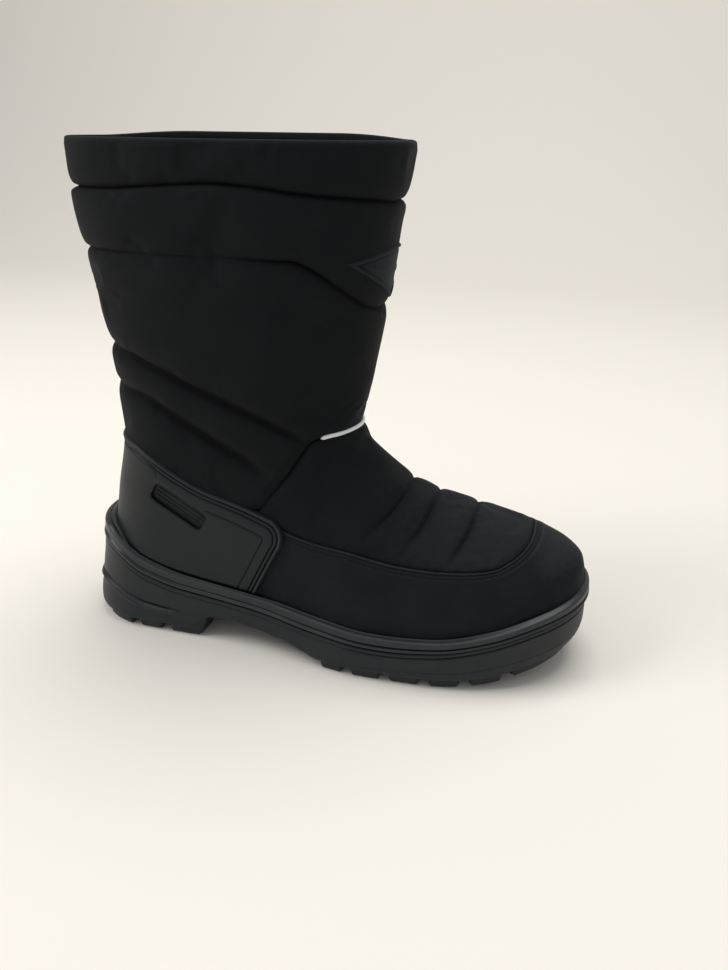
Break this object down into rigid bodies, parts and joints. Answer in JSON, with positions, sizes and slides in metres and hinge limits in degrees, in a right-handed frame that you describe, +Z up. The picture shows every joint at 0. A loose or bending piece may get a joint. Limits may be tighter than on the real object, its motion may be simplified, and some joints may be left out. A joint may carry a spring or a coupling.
{
  "type": "snow boot",
  "caption": "Mid-calf pull-on snow boot for the right foot, with quilted leg, moulded heel counter and lugged rubber sole.",
  "frame": {"origin": "on the ground, under the middle of the boot's bounding box", "axes": "+X from heel to toe, +Y towards the inner (medial) side, +Z up"},
  "size_m": [0.3116, 0.1188, 0.2855],
  "materials": {
    "sole_rubber": "satin moulded rubber",
    "counter_rubber": "satin moulded rubber",
    "badge_rubber": "satin moulded rubber",
    "quilted_textile": "matte water-repellent softshell, quilted",
    "coated_textile": "matte coated textile",
    "footbed_felt": "matte felt",
    "fleece_lining": "matte brushed fleece",
    "reflective_piping": "satin reflective piping"
  },
  "bodies": {
    "root": {"outsole": "sole_rubber", "welt": "sole_rubber", "insole": "footbed_felt", "upper": "coated_textile", "shaft": "quilted_textile", "heel_counter": "counter_rubber", "badge": "badge_rubber"}
  },
  "joints": []
}
